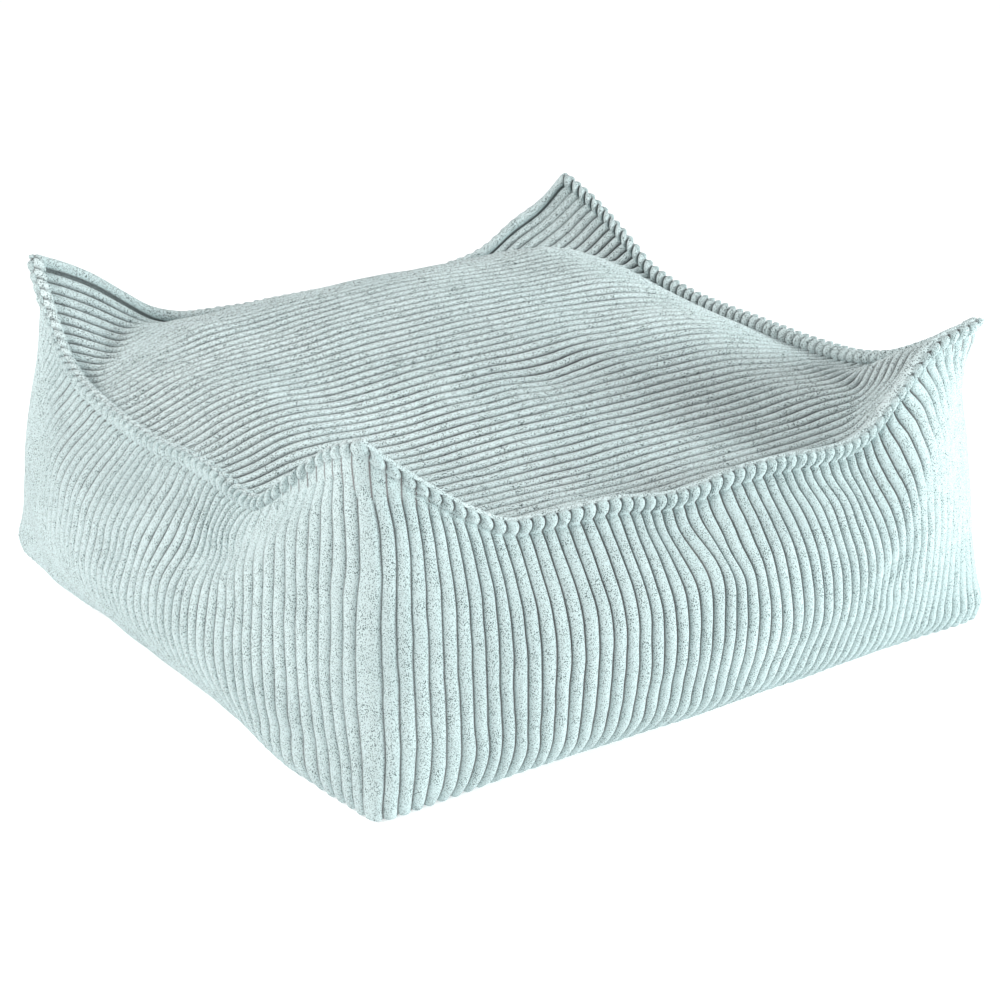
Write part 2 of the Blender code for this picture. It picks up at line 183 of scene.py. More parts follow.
# Where the band's ribs bend aside. Columns: side, rib counted from the side's
# left corner, level, half width in ribs, half height in levels, ribs aside.
BENDS = (
    ("front", 34.0, 0.92, 15.0, 0.30, 1.05),
    ("front", 2.0, 0.90, 5.0, 0.30, 0.45),
    ("front", 14.0, 0.42, 16.0, 0.20, -0.40),
    ("front", 3.0, 0.05, 6.0, 0.25, 0.2),
    ("front", 24.0, 0.87, 2.5, 0.07, -0.3),
    ("front", 26.0, 0.68, 2.5, 0.08, 0.35),
    ("front", 25.3, 0.76, 1.2, 0.07, 0.3),
    ("front", 27.5, 0.76, 1.2, 0.07, -0.25),
    ("front", 52.0, 0.86, 4.0, 0.05, 0.35),
    ("front", 52.0, 0.76, 4.0, 0.05, -0.35),
    ("front", 38.0, 0.91, 3.0, 0.05, -0.3),
    ("front", 38.5, 0.81, 3.5, 0.06, 0.4),
    ("front", 43.0, 0.66, 5.0, 0.12, 0.3),
    ("front", 44.0, 0.42, 4.0, 0.08, -0.7),
    ("front", 26.0, 0.90, 4.0, 0.07, -0.2),
    ("front", 51.0, 1.02, 5.0, 0.16, -1.5),
    ("front", 51.0, 0.74, 4.5, 0.12, 0.8),
    ("left", 48.0, 0.92, 8.0, 0.16, -1.1),
    ("left", 45.5, 0.86, 3.5, 0.12, -1.2),
    ("left", 41.0, 0.90, 3.0, 0.10, -0.6),
    ("left", 36.0, 0.80, 4.5, 0.12, 1.4),
    ("left", 28.0, 0.92, 5.0, 0.08, -0.9),
    ("left", 12.0, 0.80, 7.0, 0.25, -3.0),
    ("left", 29.0, 0.70, 6.0, 0.20, 0.6),
    ("left", 47.0, 0.06, 9.0, 0.22, -1.5),
    ("left", 54.0, 0.12, 3.0, 0.10, 0.5),
    ("right", 12.0, 0.86, 7.0, 0.13, -0.9),
    ("right", 40.0, 0.84, 6.0, 0.10, 0.8),
    ("back", 14.0, 0.88, 7.0, 0.12, -0.9),
    ("back", 43.0, 0.80, 6.0, 0.12, 0.7),
)

# Where the ribs are pressed flat, or stand out more if negative. Columns: side,
# rib, level, half width in ribs, half height in levels, share of their height lost.
FLATS = (
    ("front", 54.5, 0.44, 4.2, 0.25, 0.85),
    ("front", 56.0, 0.75, 4.3, 0.17, 0.90),
    ("front", 52.0, 0.58, 4.0, 0.08, 0.70),
    ("front", 53.5, 1.00, 4.0, 0.08, -0.8),
    ("front", 3.0, 0.50, 10.0, 0.60, 0.12),
    ("left", 53.0, 0.45, 9.0, 0.50, 0.15),
    ("left", 17.0, 0.78, 8.0, 0.22, -0.65),
)

# Narrow creases where the ribs are pressed flat. Columns: side, rib and level
# of the start, rib and level of the end, half width, share of their height lost.
CREASES = (
    ("left", 52.0, 0.932, 48.0, 0.910, 3.0, 0.75),
    ("left", 48.0, 0.910, 45.5, 0.872, 3.4, 0.85),
    ("left", 45.5, 0.872, 42.0, 0.790, 4.0, 0.85),
    ("left", 42.0, 0.790, 39.0, 0.680, 4.0, 0.65),
    ("front", 51.0, 0.700, 47.2, 0.590, 4.5, 0.80),
    ("front", 47.2, 0.590, 41.8, 0.510, 4.0, 0.70),
    ("front", 41.8, 0.510, 39.0, 0.430, 4.0, 0.50),
)

# Where the top's ribs are pressed flat. Columns: east, north, half width east,
# half width north, share of their height lost.
TOP_FLATS = (
    (-200, 200, 26, 34, 0.6),
    (262, 262, 60, 60, 0.5),
    (-262, 262, 50, 50, 0.2),
    (235, -200, 70, 60, -0.5),
)

# Where the top's ribs sway. Columns: east, north, half width east, half width
# north, and how far the ribs move north.
SWAYS = (
    (-235, 225, 30, 40, -7.0),
    (-180, 215, 30, 40, 6.0),
    (20, -50, 26, 42, -4.5),
    (88, -40, 30, 42, 4.5),
    (-52, -52, 18, 26, -3.0),
    (-14, -60, 18, 26, 2.5),
    (215, -170, 22, 60, -7.0),
    (262, -190, 22, 60, 6.0),
    (150, -90, 40, 60, 3.0),
)

# Chance variation. Columns: amount, size in millimetres, seed.
BAND_WANDER = ((1.0, 80, 3), (0.35, 30, 4))      # the band's ribs, sideways
BAND_DEPTH = ((0.10, 60, 5),)                    # share of the band's relief
BAND_LUMPS = ((0.35, 40, 6),)                    # the band, in and out
TOP_WANDER = ((1.2, 90, 11), (0.5, 35, 12))      # the top's ribs, north and south
TOP_DEPTH = ((0.16, 70, 13),)                    # share of the top's relief

BAND_ROWS = 33            # from the base up to the stitched edge
# The rows of the stitched edge, as distances below the crest.
EDGE_ROWS = (13.0, 12.0, 11.2, 10.4, 9.4, 8.0, 6.2, 4.4, 2.8, 1.4, 0.5, 0.0)
# The band's hem turned in underneath. Columns: distance in, height.
UNDER_ROWS = ((14.0, 1.6), (6.0, 0.7), (1.8, 1.2))
# The band's own half of the seam, behind its crest and down. Columns: distance
# in, distance below the crest, share of the crest's waves.
INNER_ROWS = (
    (1.4, -0.3, 0.6),
    (2.6, 0.8, 0.35),
    (LEAF, 3.0, 0.15),
    (LEAF, FLANGE + 6, 0),
)
HIDDEN_SHARE = 0.92       # the band closes under the top panel at this share of its size
HIDDEN_HIGH = 140.0       # and at this height

TOP_COLUMNS = 150
SWAY_RAMP = 10.0          # how steeply the ribs' sway sets in from the left and right seam
# The top's half of the seam, up from the panel's edge and over the crest.
# Columns: distance in from the panel's edge, distance below the seam, share of
# the ribs' relief.
TOP_LEAF = (
    (1.4, 9.8, 1.0),
    (2.4, 8.2, 1.1),
    (3.0, 6.0, 1.1),
    (2.7, 3.8, 1.1),
    (1.6, 1.6, 1.0),
    (-0.4, 0.1, 0.8),
    (-2.4, -0.4, 0.5),
    (-4.0, 1.4, 0.0),
)

BASE_STEPS = 48           # steps along one side of the base panel
# The base panel's rows. Columns: share of the outline's size, height.
BASE_ROWS = (
    (1 - 5.0 / SEAM_HALF, 1.4),
    (1 - 8.0 / SEAM_HALF, 0.3),
    (0.8, 0.2),
    (0.45, 0.2),
)

PAINTED_FLANK_SHADE = 0.35        # painted shade: a rib's flanks tend to this share of its deep colour
FLOOR_HALF = 12.0         # half the floor's width, in metres
CAMERA_DOWN = 21.726      # the camera looks down by this angle, in degrees
CAMERA_TURN = 35.033      # and to the right of straight back by this one


def curve(x, table):
    """A smooth curve through a table's first two columns."""
    xs = np.array([row[0] for row in table], float)
    ys = np.array([row[1] for row in table], float)
    slope = np.gradient(ys, xs)
    i = np.clip(np.searchsorted(xs, x, side="right") - 1, 0, len(xs) - 2)
    h = xs[i + 1] - xs[i]
    f = np.clip((x - xs[i]) / h, 0, 1)
    start = (2 * f**3 - 3 * f**2 + 1) * ys[i] + (f**3 - 2 * f**2 + f) * h * slope[i]
    return start + (3 * f**2 - 2 * f**3) * ys[i + 1] + (f**3 - f**2) * h * slope[i + 1]


def ease(x):
    """From 0 to 1 with a soft start and a soft end."""
    x = np.clip(x, 0, 1)
    return x * x * (3 - 2 * x)


def soften(values, width):
    """A closed row of values, smoothed with a bell of this width in steps."""
    reach = int(4 * width) + 1
    bell = np.exp(-0.5 * (np.arange(-reach, reach + 1) / width) ** 2)
    wrapped = np.concatenate([values[-reach:], values, values[:reach]])
    return np.convolve(wrapped, bell / bell.sum(), mode="valid")


def ripple(points, size, seed, waves=9):
    """Smooth chance variation, about -1 to 1, of roughly this size in millimetres."""
    chance = np.random.default_rng(seed)
    total = np.zeros(points.shape[:-1])
    for _ in range(waves):
        way = chance.normal(size=3)
        way *= 2 * np.pi / (size * chance.uniform(0.7, 1.5) * np.linalg.norm(way))
        total += np.sin(points @ way + chance.uniform(0, 2 * np.pi))
    return total / math.sqrt(waves)


def wander(points, table):
    """The sum of a table's chance variations at these points."""
    return sum(amount * ripple(points, size, seed) for amount, size, seed in table)


def fold_depth(side, a, level, half):
    """How far the band's folds push it in, along one side at one level."""
    depth = np.zeros_like(a)
    for name, a0, v0, a1, v1, deep, width in FOLDS:
        if name != side:
            continue
        run = np.array([(a1 - a0) * half, (v1 - v0) * FOLD_HEIGHT])
        at = np.stack([(a - a0) * half, np.full_like(a, (level - v0) * FOLD_HEIGHT)], -1)
        t = np.clip(at @ run / (run @ run), 0, 1)
        off = np.linalg.norm(at - t[:, None] * run, axis=1)
        depth += deep * np.sin(np.pi * np.clip(t, *FOLD_ENDS)) * np.exp(-(off / width) ** 2)
    return depth


def ring(level):
    """The band's outline at a level, in millimetres, from the front left corner on."""
    half, front, left, soft = (curve(level, SECTION[:, [0, k]]) for k in (1, 2, 3, 4))
    half = half + ROUNDED_IN * soft
    a = -1 + 2 * np.arange(RING) / RING
    rise = ease((level - LEAN_FROM_LEVEL) / (1 - LEAN_FROM_LEVEL))
    parts = []
    for k, side in enumerate(SIDES):
        middle = front if side in ("front", "right") else left
        bulge = (middle - half) * (1 - np.abs(a) ** SWELL)
        out = half + bulge - fold_depth(side, a, level, half)
        to_left = ease((-a - LEAN_FROM_PLACE) / (1 - LEAN_FROM_PLACE))
        to_right = ease((a - LEAN_FROM_PLACE) / (1 - LEAN_FROM_PLACE))
        lean = np.outer(to_left, EAR_LEAN[k]) + np.outer(to_right, EAR_LEAN[(k + 1) % 4])
        lean = lean * rise
        plan = np.outer(out, OUTWARD[side]) + np.outer(a * half, ALONG[side]) + lean
        height = FOOT + level * (curve(a, CREST[side]) - FOOT)
        parts.append(np.column_stack([plan, height]))
    points = np.concatenate(parts)
    step = 2 * half / RING
    for axis, width in ((0, soft), (1, soft), (2, CREST_SOFT)):
        points[:, axis] = soften(points[:, axis], width / step)
    return points


def along_side(outline, k, share):
    """Points at the given shares, 0 to 1, of one side's plan length."""
    line = np.concatenate([outline, outline[:1]])[k * RING:(k + 1) * RING + 1]
    steps = np.linalg.norm(np.diff(line[:, :2], axis=0), axis=1)
    length = np.concatenate([[0], np.cumsum(steps)])
    at = np.asarray(share) * length[-1]
    return np.stack([np.interp(at, length, line[:, j]) for j in range(3)], -1)


def unit(vectors):
    """The vectors, each made one long."""
    return vectors / np.linalg.norm(vectors, axis=-1, keepdims=True)


def rib_relief(place, groove):
    """Height over the cloth's middle at a place across a rib, -1 to 1."""
    return RIDGE - (RIDGE + groove) * np.abs(place) ** ROUND


class Stack:
    """The smooth band: outlines at even levels, with points evenly spaced along them."""

    def __init__(self):
        share = np.arange(STEPS_A_RIB * RIBS) / (STEPS_A_RIB * RIBS)
        outlines = []
        for level in np.linspace(0, 1, STACK_LEVELS):
            outline = ring(level)
            sides = [along_side(outline, k, share) for k in range(4)]
            outlines.append(np.concatenate(sides))
        self.points = np.array(outlines)
        across = np.roll(self.points, -1, axis=1) - np.roll(self.points, 1, axis=1)
        up = np.gradient(self.points, axis=0)
        self.normals = unit(np.cross(across, up))

    def look_up(self, table, ribs, level):
        """Values of a table at places in ribs from the front left corner, and at levels."""
        column = (ribs * STEPS_A_RIB) % table.shape[1]
        row = np.clip(level, 0, 1) * (STACK_LEVELS - 1)
        i, j = np.floor(row).astype(int), np.floor(column).astype(int)
        i = np.minimum(i, STACK_LEVELS - 2)
        f, g = (row - i)[..., None], (column - j)[..., None]
        j, j2 = j % table.shape[1], (j + 1) % table.shape[1]
        low = table[i, j] * (1 - g) + table[i, j2] * g
        high = table[i + 1, j] * (1 - g) + table[i + 1, j2] * g
        return low * (1 - f) + high * f


def crown(x, y):
    """The height of the top's crown."""
    return CROWN_LOW + (CROWN_HIGH - CROWN_LOW) * curve(x, CROWN_X) * curve(y, CROWN_Y)


def dents(x, y, table):
    """The sum of a table's soft spots at places on the top."""
    total = np.zeros(np.shape(x))
    for east, north, wide, long, amount in table:
        total += amount * np.exp(-((x - east) / wide) ** 2 - ((y - north) / long) ** 2)
    return total


def top_height(x, y):
    """The crown, raised to the four ears' inner faces and dented."""
    z = crown(x, y)
    for east in (-1, 1):
        for north in (-1, 1):
            run = 2 * EAR_CORNER - east * x - north * y
            face = EAR_FOOT - EAR_FALL * run
            z = 0.5 * (z + face + np.sqrt((z - face) ** 2 + (2 * VALLEY) ** 2))
    return z - dents(x, y, DENTS)


def drawn_in(points, inset):
    """A copy of a row of points, moved towards the ottoman's middle."""
    row = points.copy()
    row[:, :2] *= 1 - inset / SEAM_HALF
    return row


def rim(k, a, inset, drop):
    """The seam's line along side k at places a, moved in and down."""
    points = drawn_in(along_side(CREST_RING, k, (np.asarray(a) + 1) / 2), inset)
    points[:, 2] -= drop
    return points


def top_grid(columns, share, inset):
    """The top's points, [row, column], with rows at given shares of the cloth's length.

    Also the places of the rows along the left and the right seam, -1 to 1.
    """
    fine = np.linspace(-1, 1, RIM_STEPS)
    south, north = rim(0, columns, inset, FLANGE), rim(2, -columns, inset, FLANGE)
    west, east = rim(3, -fine, inset, FLANGE), rim(1, fine, inset, FLANGE)
    u, v = (columns[None, :, None] + 1) / 2, (fine[:, None, None] + 1) / 2
    plan = (1 - v) * south[None] + v * north[None] + (1 - u) * west[:, None] + u * east[:, None]
    plan = plan - (1 - u) * (1 - v) * south[0] - u * (1 - v) * south[-1]
    plan = plan - (1 - u) * v * north[0] - u * v * north[-1]
    x, y = plan[..., 0], plan[..., 1]
    z = top_height(x, y)
    near = {
        "south": np.exp(-(y - y[:1]) / curve(columns, FRONT_REACH)),
        "north": np.exp(-(y[-1:] - y) / SEAM_REACH),
        "west": np.exp(-(x - x[:, :1]) / SEAM_REACH),
        "east": np.exp(-(x[:, -1:] - x) / curve(fine, RIGHT_REACH)[:, None]),
    }
    miss = {
        "south": south[None, :, 2] - z[:1], "north": north[None, :, 2] - z[-1:],
        "west": west[:, None, 2] - z[:, :1], "east": east[:, None, 2] - z[:, -1:],
    }
    z = z + sum(near[name] * miss[name] for name in near)
    for name in ("south", "north"):
        z = z - near[name] * near["west"] * miss[name][0, 0]
        z = z - near[name] * near["east"] * miss[name][0, -1]
    grid = np.zeros((len(share), len(columns), 3))
    places = []
    for j in range(len(columns)):
        line = np.stack([x[:, j], y[:, j], z[:, j]], -1)
        steps = np.linalg.norm(np.diff(line[:, 1:], axis=0), axis=1)
        length = np.concatenate([[0], np.cumsum(steps)])
        at = share * length[-1]
        grid[:, j] = np.stack([np.interp(at, length, line[:, m]) for m in range(3)], -1)
        places.append(np.interp(at, length, fine))
    return grid, places[0], places[-1]


def make_mesh(name, points, faces, rib, material):
    """A mesh object from points in millimetres.

    The attribute rib is 1 on a rib's back and falls to 0 in the groove; it sets the painted
    shade.
    """
    data = bpy.data.meshes.new(name)
    data.from_pydata((np.asarray(points) * MM).tolist(), [], faces)
    attribute = data.attributes.new("rib", "FLOAT", "POINT")
    attribute.data.foreach_set("value", np.asarray(rib, np.float32))
    data.shade_smooth()
    data.materials.append(material)
    made = bpy.data.objects.new(name, data)
    bpy.context.scene.collection.objects.link(made)
    return made


def quads_round(rows, columns, upward=True):
    """Quads between rows of a closed strip, rows one after another in the points."""
    faces = []
    for i in range(rows - 1):
        low, high = i * columns, (i + 1) * columns
        for j in range(columns):
            n = (j + 1) % columns
            quad = (low + j, low + n, high + n, high + j)
            faces.append(quad if upward else quad[::-1])
    return faces


def quads_open(rows, columns):
    """Quads between rows of an open sheet."""
    index = np.arange(rows * columns).reshape(rows, columns)
    corners = (index[:-1, :-1], index[:-1, 1:], index[1:, 1:], index[1:, :-1])
    return np.stack(corners, -1).reshape(-1, 4).tolist()


def fan(loop, centre, upward):
    """Triangles from a closed loop to one point in its middle."""
    faces = []
    for i in range(len(loop)):
        tri = (loop[i], loop[(i + 1) % len(loop)], centre)
        faces.append(tri if upward else tri[::-1])
    return faces


def ribs_from(ribs, side, rib):
    """How many ribs there are from a rib of one side, the short way round."""
    off = ribs - SIDES.index(side) * RIBS - rib
    return (off + 2 * RIBS) % (4 * RIBS) - 2 * RIBS


def spots(table, ribs, level):
    """The sum of a table's soft spots at places on the band."""
    total = np.zeros(ribs.shape)
    for side, rib, at, wide, high, amount in table:
        off = ribs_from(ribs, side, rib)
        total += amount * np.exp(-(off / wide) ** 2 - ((level - at) / high) ** 2)
    return total


def creases(ribs, level):
    """How much of the ribs' height the creases take, at places on the band."""
    lost = np.zeros(ribs.shape)
    for side, rib, at, end_rib, end_at, wide, share in CREASES:
        off = ribs_from(ribs, side, rib) * PITCH
        up = (level - at) * FOLD_HEIGHT
        run, climb = (end_rib - rib) * PITCH, (end_at - at) * FOLD_HEIGHT
        t = np.clip((off * run + up * climb) / (run * run + climb * climb), 0, 1)
        away = (off - t * run) ** 2 + (up - t * climb) ** 2
        lost = np.maximum(lost, share * np.exp(-away / wide ** 2))
    return lost


def band_shift(ribs, level, below):
    """How far a rib's path swings along the band at a point, in millimetres."""
    away = np.where((ribs % (4 * RIBS)) < 2 * RIBS, 1.0, -1.0)
    return away * curve(below, HOOK) + spots(BENDS, ribs, level) * PITCH


def make_band(stack, material):
    """The side band, closed underneath and under the top panel, filled to its shape."""
    columns = 4 * RIBS * len(ACROSS)
    place = np.tile(ACROSS, 4 * RIBS)
    ribs = np.repeat(np.arange(4 * RIBS), len(ACROSS)) + place / 2
    height = stack.look_up(stack.points, ribs, np.ones(columns))[:, 2]
    stitched = 1 - EDGE_ROWS[0] / height
    rows = [t * stitched for t in np.linspace(0, 1, BAND_ROWS, endpoint=False)]
    rows += [1 - down / height for down in EDGE_ROWS]
    level = np.array(rows)
    below = (1 - level) * height
    ribs = np.broadcast_to(ribs, level.shape)
    base = stack.look_up(stack.points, ribs, level)
    shift = band_shift(ribs, level, below) + wander(base, BAND_WANDER)
    ribs = ribs + shift / PITCH
    base = stack.look_up(stack.points, ribs, level)
    normal = unit(stack.look_up(stack.normals, ribs, level))
    section = rib_relief(place, GROOVE)
    wave = section / RIDGE * SCALLOP
    pinch = np.exp(-((below - STITCH_DOWN) / STITCH_WIDE) ** 2)
    flat = np.clip(spots(FLATS, ribs, level) + creases(ribs, level), *FLAT_LIMITS)
    depth = 1 + wander(base, BAND_DEPTH) + CREST_DEPTH * np.exp(-(below / CREST_REACH) ** 2)
    relief = section * depth * (1 - flat) * (1 - STITCH_FLATTENS * pinch)
    lift = relief - STITCH_IN * pinch + wander(base, BAND_LUMPS)
    lift[below < EDGE_TURN] -= EDGE_IN
    points = base + normal * lift[..., None]
    points[-1, :, 2] += wave / 2
    under = []
    out = normal[0] * (1, 1, 0)
    for inset, high in UNDER_ROWS:
        row = drawn_in(base[0], inset)
        row[:, 2] = high
        under.append(row + unit(out) * section[:, None] * (1 - inset / UNDER_ROWS[0][0]))
    inner = []
    for inset, drop, share in INNER_ROWS:
        row = drawn_in(base[-1], inset)
        row[:, 2] -= drop - share * wave
        inner.append(row)
    hidden = base[-1] * (HIDDEN_SHARE, HIDDEN_SHARE, 0)
    hidden[:, 2] = HIDDEN_HIGH
    grid = np.concatenate([under, points, inner, [hidden]])
    count = len(grid)
    faces = quads_round(count, columns)
    centres = [(0, 0, UNDER_ROWS[0][1]), (0, 0, HIDDEN_HIGH)]
    spread = np.concatenate([grid.reshape(-1, 3), centres])
    faces += fan(list(range(columns)), count * columns, upward=False)
    last = (count - 1) * columns
    faces += fan(list(range(last, last + columns)), count * columns + 1, upward=True)
    # rib sets the painted shade on the flanks and in the grooves. It lessens where the flats
    # and creases press the ribs flat, and grows where the ribs stand out more.
    rib = np.tile(1 - np.abs(place) ** ROUND, (count, 1))
    shown = slice(len(under), len(under) + len(points))
    rib[shown] = 1 - (1 - rib[shown]) * (1 - flat)
    return make_mesh("side_band", spread, faces, np.append(rib, [1, 1]), material)


def make_top(material):
    """The top panel, with its own half of the standing seam turned up round it."""
    centre = np.arange(RIBS)[:, None] + 0.5
    rows = np.append((centre + ACROSS / 2).reshape(-1), RIBS)
    place = np.append(np.tile(ACROSS, RIBS), 1.0)
    share = rows / RIBS
    # The columns lie closer together near the left and the right seam.
    t = np.linspace(-1, 1, TOP_COLUMNS)
    columns = 0.5 * t + 0.5 * np.sin(t * np.pi / 2)
    inset = 2 * LEAF
    grid, west, east = top_grid(columns, share, inset)
    swing = wander(grid, TOP_WANDER) + dents(grid[..., 0], grid[..., 1], SWAYS)
    from_rows = np.minimum(share, 1 - share) * RIBS / 2
    from_ends = (1 - np.abs(columns)) * SWAY_RAMP
    grid[..., 1] += swing * np.clip(np.minimum(from_rows[:, None], from_ends), 0, 1)
    across, ahead = np.gradient(grid, axis=1), np.gradient(grid, axis=0)
    normal = unit(np.cross(across, ahead))
    flat = np.clip(dents(grid[..., 0], grid[..., 1], TOP_FLATS), *FLAT_LIMITS)
    flat[[0, -1]] = LAST_FLAT
    relief = rib_relief(place, TOP_GROOVE)[:, None] * (1 + wander(grid, TOP_DEPTH)) * (1 - flat)
    raised = grid + normal * relief[..., None]
    n_rows, n_columns = raised.shape[:2]
    faces = quads_open(n_rows, n_columns)
    parts = [raised.reshape(-1, 3)]
    # rib sets the painted groove and flank shade; the top's flats and its first and last rows
    # change it as they change the relief.
    rib = [(1 - np.abs(place[:, None]) ** ROUND * (1 - flat)).reshape(-1)]
    index = np.arange(n_rows * n_columns).reshape(n_rows, n_columns)
    border = np.concatenate([index[0, :-1], index[:-1, -1], index[-1, :0:-1], index[:0:-1, 0]])

    # The ribs end in the right and the left seam, and run along the other two.
    # Round the border, back is 1 on a rib's back and less in its grooves; it sets the painted
    # groove shade on the seam.
    right_ends = slice(n_columns - 1, n_columns + n_rows - 2)
    left_ends = slice(2 * (n_columns - 1) + n_rows - 1, None)
    rolled = np.ones(len(border))
    wave = np.zeros(len(border))
    back = np.ones(len(border))
    for ends, places in ((right_ends, place[:-1]), (left_ends, place[:0:-1])):
        rolled[ends] = 0
        wave[ends] = rib_relief(places, TOP_GROOVE)
        back[ends] = 1 - LEAF_GROOVE_SHADE * np.abs(places) ** ROUND
    sides = ((0, columns[:-1]), (1, east[:-1]), (2, -columns[:0:-1]), (3, -west[:0:-1]))

    first = n_rows * n_columns
    lower = border
    for step, (further, drop, out) in enumerate(TOP_LEAF):
        points = np.concatenate([rim(k, a, inset + further, drop) for k, a in sides])
        points[:, :2] *= 1 - out * wave[:, None] / SEAM_HALF
        if drop < CREST_ROWS:
            points[:, 2] += wave * CREST_WAVE + rolled * ROLLED_UP
        parts.append(points)
        # The seam's first row gets painted shade in the groove under the rolled ribs.
        rib.append(back * (1 - ROLL_SHADE * rolled) if step == 0 else back)
        upper = first + step * len(border) + np.arange(len(border))
        for i in range(len(border)):
            j = (i + 1) % len(border)
            faces.append((int(lower[i]), int(upper[i]), int(upper[j]), int(lower[j])))
        lower = upper
    return make_mesh("top_cloth", np.concatenate(parts), faces, np.concatenate(rib), material)


def make_base(material):
    """The plain woven base panel."""
    foot = ring(0.0)
    share = np.arange(BASE_STEPS) / BASE_STEPS
    outline = np.concatenate([along_side(foot, k, share) for k in range(4)])
    rows = []
    for size, high in BASE_ROWS:
        row = outline * (size, size, 0)
        row[:, 2] = high
        rows.append(row)
    points = np.concatenate(rows + [[(0, 0, BASE_ROWS[-1][1])]])
    faces = quads_round(len(rows), len(outline), upward=False)
    last = (len(rows) - 1) * len(outline)
    faces += fan(list(range(last, last + len(outline))), len(points) - 1, upward=False)
    return make_mesh("base_cloth", points, faces, np.ones(len(points)), material)


class Graph:
    """A small helper for building a material's nodes."""

    def __init__(self, name):
        self.material = bpy.data.materials.new(name)
        self.material.use_nodes = True
        self.tree = self.material.node_tree
        self.shader = self.tree.nodes["Principled BSDF"]

    def node(self, kind, **settings):
        made = self.tree.nodes.new(kind)
        for key, value in settings.items():
            setattr(made, key, value)
        return made

    def link(self, source, target):
        self.tree.links.new(source, target)

    def put(self, socket, value):
        if isinstance(value, bpy.types.NodeSocket):
            self.link(value, socket)
        else:
            socket.default_value = value

    def set_shader(self, **values):
        """Plain values of the shader, by its sockets' names with _ for a space."""
        for key, value in values.items():
            self.shader.inputs[key.replace("_", " ")].default_value = value

    def noise(self, vector, scale, detail, roughness=0.5):
        made = self.node("ShaderNodeTexNoise")
        self.link(vector, made.inputs["Vector"])
        made.inputs["Scale"].default_value = scale
        made.inputs["Detail"].default_value = detail
        made.inputs["Roughness"].default_value = roughness
        return made.outputs["Fac"]

    def remap(self, value, low, high, to_low=0.0, to_high=1.0):
        made = self.node("ShaderNodeMapRange", interpolation_type="SMOOTHSTEP")
        made.inputs["From Min"].default_value = low
        made.inputs["From Max"].default_value = high
        made.inputs["To Min"].default_value = to_low
        made.inputs["To Max"].default_value = to_high
        self.link(value, made.inputs["Value"])
        return made.outputs["Result"]

    def math(self, operation, first, second):
        made = self.node("ShaderNodeMath", operation=operation)
        self.put(made.inputs[0], first)
        self.put(made.inputs[1], second)
        return made.outputs["Value"]

    def mix(self, share, first, second):
        """A mix of two colours, whose sockets are 6 and 7 and come out at 2."""
        made = self.node("ShaderNodeMix", data_type="RGBA")
        self.put(made.inputs[0], share)
        self.put(made.inputs[6], first)
        self.put(made.inputs[7], second)
        return made.outputs[2]

    def bump(self, height, strength, distance):
        """Raise the shader's surface by a height, without a change of shape."""
        made = self.node("ShaderNodeBump")
        made.inputs["Strength"].default_value = strength
        made.inputs["Distance"].default_value = distance
        self.link(height, made.inputs["Height"])
        self.link(made.outputs["Normal"], self.shader.inputs["Normal"])

    def stretched(self, scale):
        """Places on the object, stretched along its axes."""
        coordinates = self.node("ShaderNodeTexCoord")
        mapping = self.node("ShaderNodeMapping")
        self.link(coordinates.outputs["Object"], mapping.inputs["Vector"])
        mapping.inputs["Scale"].default_value = scale
        return mapping.outputs["Vector"]


def corduroy(name, pale, deep, fleck, groove, stretch, groove_shade_reach):
    """Short cut pile: flecked ribs with painted shade on their flanks and in their grooves, a
    bumpy nap and a soft sheen.
    """
    g = Graph(name)
    plain, along = g.stretched((1, 1, 1)), g.stretched(stretch)
    rib = g.node("ShaderNodeAttribute", attribute_name="rib").outputs["Fac"]
    wide = g.noise(plain, scale=14.0, detail=3.0)
    colour = g.mix(g.remap(wide, 0.3, 0.7), (*deep, 1), (*pale, 1))
    pile = g.noise(along, scale=1500.0, detail=0.0)
    patches = g.noise(plain, scale=90.0, detail=2.0)
    patchy = g.remap(patches, 0.35, 0.65, to_low=0.6)
    flecks = g.math("MULTIPLY", g.remap(pile, 0.54, 0.65), patchy)
    colour = g.mix(flecks, colour, (*fleck, 1))
    # Painted shade on a rib's flanks: where rib falls, the colour is drawn towards a much
    # deeper copy of the deep colour.
    flank_shade_colour = tuple(PAINTED_FLANK_SHADE * c for c in deep)
    unshaded_share = g.remap(rib, 0.15, 0.95, to_low=0.82)
    colour = g.mix(unshaded_share, (*flank_shade_colour, 1), colour)
    # Painted shade in the grooves: where rib is low, the colour goes over to the groove colour.
    groove_shade = g.remap(rib, 0.04, groove_shade_reach, to_low=1.0, to_high=0.0)
    colour = g.mix(groove_shade, colour, (*groove, 1))
    g.link(colour, g.shader.inputs["Base Color"])
    nap = g.noise(plain, scale=1100.0, detail=2.0, roughness=0.6)
    pits = g.math("MULTIPLY", pile, -0.7)
    g.bump(g.math("ADD", pits, g.math("MULTIPLY", nap, 0.3)), strength=0.8, distance=0.0008)
    g.set_shader(Roughness=0.95, Specular_IOR_Level=0.15, Sheen_Weight=0.25,
                 Sheen_Roughness=0.45, Sheen_Tint=(0.92, 0.98, 1.0, 1))
    return g.material


def plain_weave(name, pale, deep):
    """Plain cotton: two crossed rows of threads, a little blotchy."""
    g = Graph(name)
    vector = g.stretched((1, 1, 1))
    threads = []
    for way in ("X", "Y"):
        wave = g.node("ShaderNodeTexWave", wave_type="BANDS", bands_direction=way)
        g.link(vector, wave.inputs["Vector"])
        wave.inputs["Scale"].default_value = 260.0
        wave.inputs["Distortion"].default_value = 0.6
        threads.append(wave.outputs["Fac"])
    weave = g.math("MULTIPLY", *threads)
    blotch = g.noise(vector, scale=30.0, detail=3.0)
    share = g.math("ADD", g.math("MULTIPLY", weave, 0.7), g.math("MULTIPLY", blotch, 0.3))
    g.link(g.mix(share, (*deep, 1), (*pale, 1)), g.shader.inputs["Base Color"])
    g.bump(weave, strength=0.4, distance=0.0006)
    g.set_shader(Roughness=0.9, Specular_IOR_Level=0.2)
    return g.material


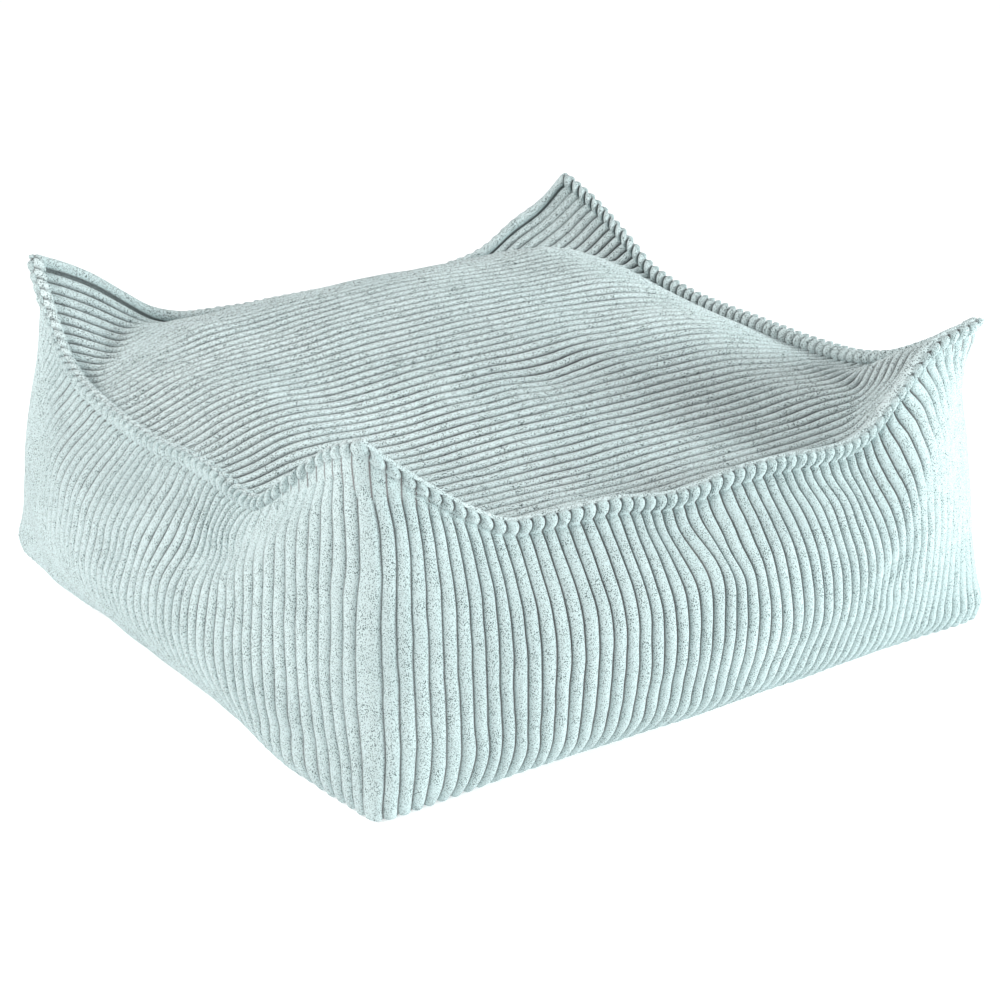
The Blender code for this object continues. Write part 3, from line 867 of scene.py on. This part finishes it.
def area_light(name, place, aim, size, power, colour):
    """A round soft light at a place, turned to what it aims at."""
    data = bpy.data.lights.new(name, "AREA")
    data.shape = "DISK"
    data.size = size
    data.energy = power
    data.color = colour
    made = bpy.data.objects.new(name, data)
    bpy.context.scene.collection.objects.link(made)
    made.location = place
    east, north, up = np.array(aim, float) - np.array(place, float)
    tilt = math.pi / 2 + math.atan2(up, math.hypot(east, north))
    made.rotation_euler = (tilt, 0, math.atan2(north, east) - math.pi / 2)


CREST_RING = ring(1.0)    # the seam's line, all round

# One corduroy in two copies. groove is the colour of the painted shade in the grooves, and the
# last value how far up the ribs it reaches; on the top it is deeper and reaches further. The
# top's copy is also paler.
side_cord = corduroy(
    "cord_side_look", pale=(0.55, 0.67, 0.675), deep=(0.495, 0.61, 0.615),
    fleck=(0.12, 0.16, 0.16), groove=(0.16, 0.157, 0.157), stretch=(1.0, 1.0, 0.7),
    groove_shade_reach=0.52)
top_cord = corduroy(
    "cord_top_look", pale=(0.65, 0.765, 0.77), deep=(0.59, 0.705, 0.71),
    fleck=(0.06, 0.09, 0.09), groove=(0.06, 0.06, 0.06), stretch=(0.75, 0.6, 0.8),
    groove_shade_reach=0.95)
base_look = plain_weave("base_cloth_look", pale=(0.50, 0.58, 0.59), deep=(0.36, 0.43, 0.44))

band = make_band(Stack(), side_cord)
top = make_top(top_cord)
base = make_base(base_look)

PIECES = (
    (band, "filled_body", "cord_side"),
    (top, "top_panel", "cord_top"),
    (base, "base_panel", "base_cloth"),
)
for piece, node, slot in PIECES:
    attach(piece, "root")
    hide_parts(node)

floor_data = bpy.data.meshes.new("floor")
corners = [(-FLOOR_HALF, -FLOOR_HALF, 0), (FLOOR_HALF, -FLOOR_HALF, 0),
           (FLOOR_HALF, FLOOR_HALF, 0), (-FLOOR_HALF, FLOOR_HALF, 0)]
floor_data.from_pydata(corners, [], [(0, 1, 2, 3)])
floor = bpy.data.objects.new("floor", floor_data)
bpy.context.scene.collection.objects.link(floor)
floor_look = Graph("pale_floor")
floor_look.set_shader(
    Base_Color=(0.93, 0.93, 0.93, 1), Roughness=1.0, Specular_IOR_Level=0.0,
    Emission_Color=(1, 1, 1, 1), Emission_Strength=0.44)
floor_data.materials.append(floor_look.material)

world = bpy.data.worlds.new("studio")
world.use_nodes = True
background = world.node_tree.nodes["Background"]
background.inputs["Color"].default_value = (1.0, 1.0, 1.0, 1)
background.inputs["Strength"].default_value = 0.58
bpy.context.scene.world = world
area_light("left_light", place=(-1.55, -0.05, 1.45), aim=(0, 0, 0.15), size=0.7,
           power=26.5, colour=(1.0, 0.95, 0.935))
area_light("right_light", place=(1.5, -1.7, 0.52), aim=(0.1, -0.2, 0.12), size=0.8,
           power=46, colour=(0.94, 1.0, 1.0))
bpy.context.scene.view_settings.view_transform = "Standard"

camera_data = bpy.data.cameras.new("camera")
camera_data.lens = 79.50
camera_data.sensor_width = 36.0
camera = bpy.data.objects.new("camera", camera_data)
bpy.context.scene.collection.objects.link(camera)
camera.location = (-0.9652, -1.3993, 0.7526)
camera.rotation_euler = (math.radians(90 - CAMERA_DOWN), 0, math.radians(-CAMERA_TURN))
bpy.context.scene.camera = camera
